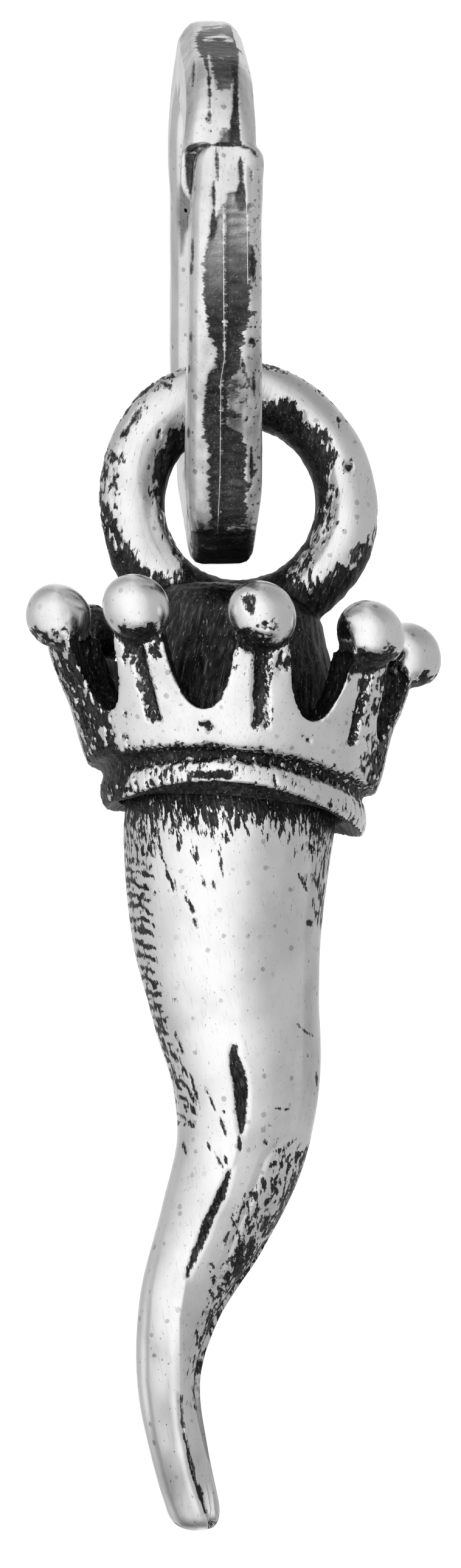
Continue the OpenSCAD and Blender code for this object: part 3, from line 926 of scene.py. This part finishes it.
# Under the crown the black hangs down in teeth.
collar_from = 11.75  # mm below the hinge
drop = (places[:, 2] - hinge.z + collar_from) / pixel
tooth_places = places + np.outer(places[:, 2], (-0.12, 0, 0))
collar = 0.34 * drop + 13 * grain(tooth_places, (0.09, 0.09, 0.8), 4.0)
collar += 9 * grain(tooth_places, (0.07, 0.07, 0.3), 8.0)
deep = patches(view, (crease_upper, crease_middle, crease_lower))
fine = streaks(view, horn_marks)
# Low on the right the streaks lean with the curve.
leaning = places + np.outer(places[:, 2], (-0.5, 0, 0))
# The black also grows where the surface turns away from the camera: the streaks are patina, this extra
# black at the edge is painted shade.
low_right = np.clip(patch(view, flank) / 3, -20, 3) - 7 + 8 * (1 - toward)
low_right += 10 * grain(leaning, (0.11, 0.11, 0.22), 5.0) + 6 * grain(leaning, (0.3, 0.3, 0.6), 1.0)
right_top = np.clip(patch(view, top_right) / 3, -25, 2) - 2.5
right_top += 14 * grain(tooth_places, (0.08, 0.08, 0.45), 6.0)
x, y = view
# The comb's bars, every so many pixels, slant down to the right.
bar_every, bar_slant = 19, 0.35
bars = (y - bar_slant * (x - 200) + 7 * grain(places, 0.5, 2.0)) / bar_every
bars = np.cos(2 * math.pi * bars)
comb = 6 * bars - 2 + 5 * grain(places, (0.2, 0.2, 0.14), 9.0)
comb = np.minimum(comb, patch(view, comb_area) / 2 + 8 * grain(places, (0.3, 0.3, 0.15), 1.0))
ground = np.clip(patch(view, left_ground) / 3, -25, 2) - 5 + 12 * grain(places, (0.25, 0.25, 0.1), 3.0)
behind = -9 + 13 * grain(places, 1.6, 6.0) + 10 * grain(leaning, (0.14, 0.14, 0.5), 2.0)
marked = np.maximum.reduce([deep, fine, low_right, right_top, comb, ground])
black = np.maximum(np.where(front, np.maximum(marked, -18), behind), collar)
sink(horn, 0.07 * soft(-8, 10, np.where(front, deep, -9)) + 0.018 * soft(-2, 5, black))

# %% Painted shade and torn edges on the horn
strip, rim, ridge = (read(rows, y) for rows in (horn_strip, horn_rim, horn_ridge))
tail_face = np.minimum(x - rim, ridge - 14 - x)
# Painted shade greys the flat right of the strip, the tail's face and the side right of the ridge.
painted_shade = 0.16 * soft(0, 9, x - strip) * soft(1880, 1780, y)
painted_shade += 0.36 * soft(-3, 9, tail_face) * soft(2080, 2330, y)
painted_shade += 0.12 * soft(1900, 2000, y) * soft(0, 6, x - ridge)
painted_shade *= 1 + 0.5 * grain(places, (0.4, 0.4, 1.0), 1.0)
tear = 0.1 + 0.1 * soft(340, 310, x) + 0.5 * soft(-26, -10, collar)
tear += 0.3 * soft(-14, -5, np.where(front, low_right, -9))
blacken(horn, black, tear, np.where(front, painted_shade, 0))

# %% [markdown]
# All four pieces are sterling silver, blackened and polished. One material is
# built four times, because the black tears along the way each piece was
# polished: along the horn, down the foot, across the ring. Noise moves the edge
# of the black to and fro, so it looks torn and not painted, and the metal is
# smooth where it is bright and dull where it is black.

# %% Blackened silver
def node(mat, kind, **values):
    """Adds a node and sets its inputs or its own values by name."""
    made = mat.node_tree.nodes.new("ShaderNode" + kind)
    for key, value in values.items():
        if key in made.inputs:
            made.inputs[key].default_value = value
        else:
            setattr(made, key, value)
    return made


def wire(mat, source, target):
    """Links an output to an input."""
    mat.node_tree.links.new(source, target)


def feed(mat, sockets, terms):
    """Gives each input its value, or links an output to it."""
    for socket, term in zip(sockets, terms):
        if isinstance(term, bpy.types.NodeSocket):
            wire(mat, term, socket)
        else:
            socket.default_value = term


def kept(mat, name):
    """The number that is kept with each vertex under this name."""
    return node(mat, "Attribute", attribute_name=name).outputs["Fac"]


def calc(mat, operation, *terms):
    """One step of arithmetic on outputs or numbers."""
    made = node(mat, "Math", operation=operation)
    feed(mat, made.inputs, terms)
    return made.outputs[0]


def ramp(mat, source, low, high, start=0.0, end=1.0):
    """A smooth step of a value, from start to end."""
    made = node(mat, "MapRange", interpolation_type="SMOOTHSTEP")
    feed(mat, made.inputs, (source, low, high, start, end))
    return made.outputs[0]


def mix(mat, share, first, second):
    """The first value where the share is 0, the second where it is 1."""
    made = node(mat, "Mix", data_type="FLOAT")
    feed(mat, [made.inputs[k] for k in (0, 2, 3)], (share, first, second))
    return made.outputs[0]


def mix_colours(mat, share, first, second, blend="MIX"):
    """The first colour where the share is 0, blended with the second where it is 1."""
    made = node(mat, "Mix", data_type="RGBA", blend_type=blend)
    feed(mat, [made.inputs[k] for k in (0, 6, 7)], (share, first, second))
    return made.outputs[2]


def blur_of(mat, place, size, turn=0.0, detail=3.0, rough=0.6):
    """Noise with lumps of this size in mm, turned by degrees about Y."""
    mapping = node(mat, "Mapping", vector_type="TEXTURE")
    mapping.inputs["Rotation"].default_value = (0, math.radians(turn), 0)
    mapping.inputs["Scale"].default_value = [MM * s for s in size]
    wire(mat, place, mapping.inputs["Vector"])
    made = node(mat, "TexNoise", Scale=1.0, Detail=detail, Roughness=rough)
    wire(mat, mapping.outputs[0], made.inputs["Vector"])
    return made.outputs[0]


black_from = 0.54  # where the kept number, with its noise, turns black
spot_every = 0.36  # mm between the stained spots


def blackened_silver(name, torn_size, torn_turn, blur, glint_size, glint_tone, bare_lines=()):
    """Polished silver with torn black in its hollows."""
    mat = bpy.data.materials.new(name)
    mat.use_nodes = True
    bsdf = mat.node_tree.nodes["Principled BSDF"]
    bsdf.inputs["Metallic"].default_value = 1.0
    place = node(mat, "TexCoord").outputs["Object"]
    black, tear, painted_shade = kept(mat, "black"), kept(mat, "tear"), kept(mat, "painted_shade")
    torn_noise = blur_of(mat, place, torn_size, torn_turn, 4.0, 0.62)
    fine_noise = blur_of(mat, place, (0.07, 0.07, 0.07), 0, 2.0)
    cloud = blur_of(mat, place, (1.3, 1.3, 1.6), 0, 3.0)
    scratch = blur_of(mat, place, (0.05, 0.05, 1.6), torn_turn, 2.0)
    # The torn noise swings the edge of the black, and small glints break it up.
    swing = calc(mat, "MULTIPLY", calc(mat, "SUBTRACT", torn_noise, 0.5), 1.6)
    edge = calc(mat, "MULTIPLY_ADD", swing, tear, black)
    edge = calc(mat, "MULTIPLY_ADD", fine_noise, 0.08, edge)
    mask = ramp(mat, edge, black_from - blur, black_from + blur)
    glint = blur_of(mat, place, glint_size, torn_turn, 2.0)
    glint = ramp(mat, glint, 0.66, 0.72, 0.0, glint_tone)
    mask = calc(mat, "SUBTRACT", mask, calc(mat, "MULTIPLY", mask, glint))
    # Thin polished lines run through the black.
    for line in bare_lines:
        aside = calc(mat, "ABSOLUTE", calc(mat, "SUBTRACT", kept(mat, line), 0.5))
        aside = calc(mat, "SUBTRACT", aside, 0.015)
        aside = calc(mat, "MULTIPLY_ADD", torn_noise, 0.03, aside)
        mask = calc(mat, "MULTIPLY", mask, ramp(mat, aside, 0.004, 0.017))
    # The silver is cloudy and greyed by the painted shade, with a few stained spots, scratches and dark
    # flecks.
    silver_tone = calc(mat, "SUBTRACT", ramp(mat, cloud, 0.3, 0.62, 0.8, 0.93), painted_shade)
    spots = node(mat, "TexVoronoi", Scale=1 / (spot_every * MM), Randomness=1.0)
    wire(mat, place, spots.inputs["Vector"])
    chance = node(mat, "SeparateColor")
    wire(mat, spots.outputs["Color"], chance.inputs[0])
    blot = calc(mat, "MULTIPLY_ADD", fine_noise, 0.2, spots.outputs["Distance"])
    spot = ramp(mat, blot, 0.28, 0.33, 1.0, 0.0)
    spot = calc(mat, "MULTIPLY", spot, ramp(mat, chance.outputs[0], 0.25, 0.9, 0.0, 0.32))
    fleck = blur_of(mat, place, (0.06, 0.06, 0.13), torn_turn, 1.0)
    stains = (spot, ramp(mat, scratch, 0.6, 0.72, 0.0, 0.13), ramp(mat, fleck, 0.7, 0.76, 0.0, 0.4))
    for stain in stains:
        silver_tone = calc(mat, "SUBTRACT", silver_tone, stain)
    # The black is deepest where the noise is low, and greyer where the wheel brushed it.
    depths = calc(mat, "MULTIPLY_ADD", torn_noise, 0.6, calc(mat, "MULTIPLY", cloud, 0.4))
    black_tone = ramp(mat, depths, 0.38, 0.62, 0.012, 0.05)
    for brushed in (ramp(mat, depths, 0.56, 0.72, 0.0, 0.1), ramp(mat, scratch, 0.56, 0.68, 0.0, 0.07)):
        black_tone = calc(mat, "ADD", black_tone, brushed)
    # On the ring, painted reflection lightens the black where the bar mirrors light.
    if bare_lines:
        black_tone = calc(mat, "MULTIPLY_ADD", kept(mat, "painted_reflection"), 0.45, black_tone)
    # The two tones are mixed by the mask, and so are their gloss and their relief.
    tone = mix(mat, mask, silver_tone, black_tone)
    colour = node(mat, "CombineColor")
    feed(mat, colour.inputs[:3], [tone] * 3)
    wire(mat, colour.outputs[0], bsdf.inputs["Base Color"])
    gloss = mix(mat, mask, ramp(mat, scratch, 0.35, 0.7, 0.2, 0.32), 0.42)
    wire(mat, gloss, bsdf.inputs["Roughness"])
    grit = calc(mat, "MULTIPLY", fine_noise, calc(mat, "MULTIPLY_ADD", mask, 1.5, 0.12))
    relief = calc(mat, "MULTIPLY_ADD", mask, -1.0, grit)
    bump = node(mat, "Bump", Strength=0.6, Distance=0.02 * MM)
    wire(mat, relief, bump.inputs["Height"])
    wire(mat, bump.outputs[0], bsdf.inputs["Normal"])
    return mat


finishes = {
    "carrier_ring": blackened_silver(
        "filed_ring_silver", (0.4, 0.2, 0.12), 0, 0.03, (0.12, 0.1, 0.08), 0.4, ("ridge", "edge_line")
    ),
    "hanging_eye": blackened_silver(
        "streaked_eye_silver", (0.12, 0.2, 0.4), 12, 0.04, (0.07, 0.07, 0.2), 0.3
    ),
    "crown": blackened_silver(
        "cast_crown_silver", (0.12, 0.12, 0.2), 0, 0.03, (0.1, 0.1, 0.16), 0.4
    ),
    "horn": blackened_silver(
        "polished_horn_silver", (0.09, 0.09, 0.34), -12, 0.02, (0.07, 0.07, 0.1), 0.45
    ),
}
print("finishes:", [mat.name for mat in finishes.values()])

# %% [markdown]
# Each piece is scaled to metres, rides on its body and stands for its node.

# %% Into the frame
for piece, body, node_name, slot in (
    (carrier, "carrier", "carrier_ring", "ring_silver"), (eye, "charm", "hanging_eye", "eye_silver"),
    (crown, "charm", "crown", "crown_silver"), (horn, "charm", "horn", "horn_silver"),
):
    pick(piece)
    piece.scale = (MM, MM, MM)
    bpy.ops.object.transform_apply(location=True, rotation=True, scale=True)
    bpy.ops.object.shade_smooth()
    piece.data.materials.clear()
    piece.data.materials.append(finishes[node_name])
    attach(piece, body)
    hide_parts(node_name)
    print(piece.name, "rides on", body, "for", node_name)

# %% [markdown]
# The studio is a plain pale room. The floor lies well below the hanging charm.
# Silver shows what it mirrors, so the room's light is told by the compass: a
# wide white panel in front and to the left of the charm, and soft grey to the
# right, as the photograph's two tones say.

# %% Floor
let_go()
floor_drop = 0.075
bpy.ops.mesh.primitive_plane_add(size=4, location=(0, 0, -floor_drop))
floor = bpy.context.object
floor.name = "floor"
card = bpy.data.materials.new("pale_floor_card")
card.use_nodes = True
paint = card.node_tree.nodes["Principled BSDF"]
feed(card, (paint.inputs["Base Color"], paint.inputs["Roughness"]), ((0.95, 0.95, 0.95, 1), 0.9))
floor.data.materials.append(card)
floor.visible_glossy = False
print("floor below the origin, m:", floor_drop)

# %% Room light
room_tones = [
    (-180, 0.95), (-165, 0.72), (-140, 0.5), (-106, 0.55), (-74, 0.86), (-47, 1.04), (-23, 1.08), (0, 1.04),
    (23, 0.78), (47, 0.5), (74, 0.48), (120, 0.48), (150, 0.56), (165, 0.72), (180, 0.95),
]
room = bpy.data.worlds.new("pale_room")
bpy.context.scene.world = room
room.use_nodes = True
room.cycles.sampling_method = "NONE"
way = node(room, "TexCoord").outputs["Generated"]
parts = node(room, "SeparateXYZ")
wire(room, way, parts.inputs[0])
compass = calc(room, "ARCTAN2", parts.outputs[0], calc(room, "MULTIPLY", parts.outputs[1], -1.0))
compass = calc(room, "MULTIPLY_ADD", compass, 0.5 / math.pi, 0.5)
tones = node(room, "ValToRGB")
wire(room, compass, tones.inputs[0])
while len(tones.color_ramp.elements) < len(room_tones):
    tones.color_ramp.elements.new(0.5)
for stop, (turn_deg, tone_value) in zip(tones.color_ramp.elements, room_tones):
    stop.position = (turn_deg + 180) / 360
    stop.color = (tone_value, tone_value, tone_value, 1)
below = ramp(room, parts.outputs[2], -1.0, -0.7, 0.45, 1.0)
above = ramp(room, parts.outputs[2], 0.4, 1.0, 1.0, 0.7)
mirrored = mix_colours(room, 1.0, tones.outputs[0], calc(room, "MULTIPLY", below, above), "MULTIPLY")
glossy_ray = node(room, "LightPath").outputs["Is Glossy Ray"]
lit = mix_colours(room, glossy_ray, (1.12, 1.12, 1.12, 1), mirrored)
wire(room, lit, room.node_tree.nodes["Background"].inputs["Color"])
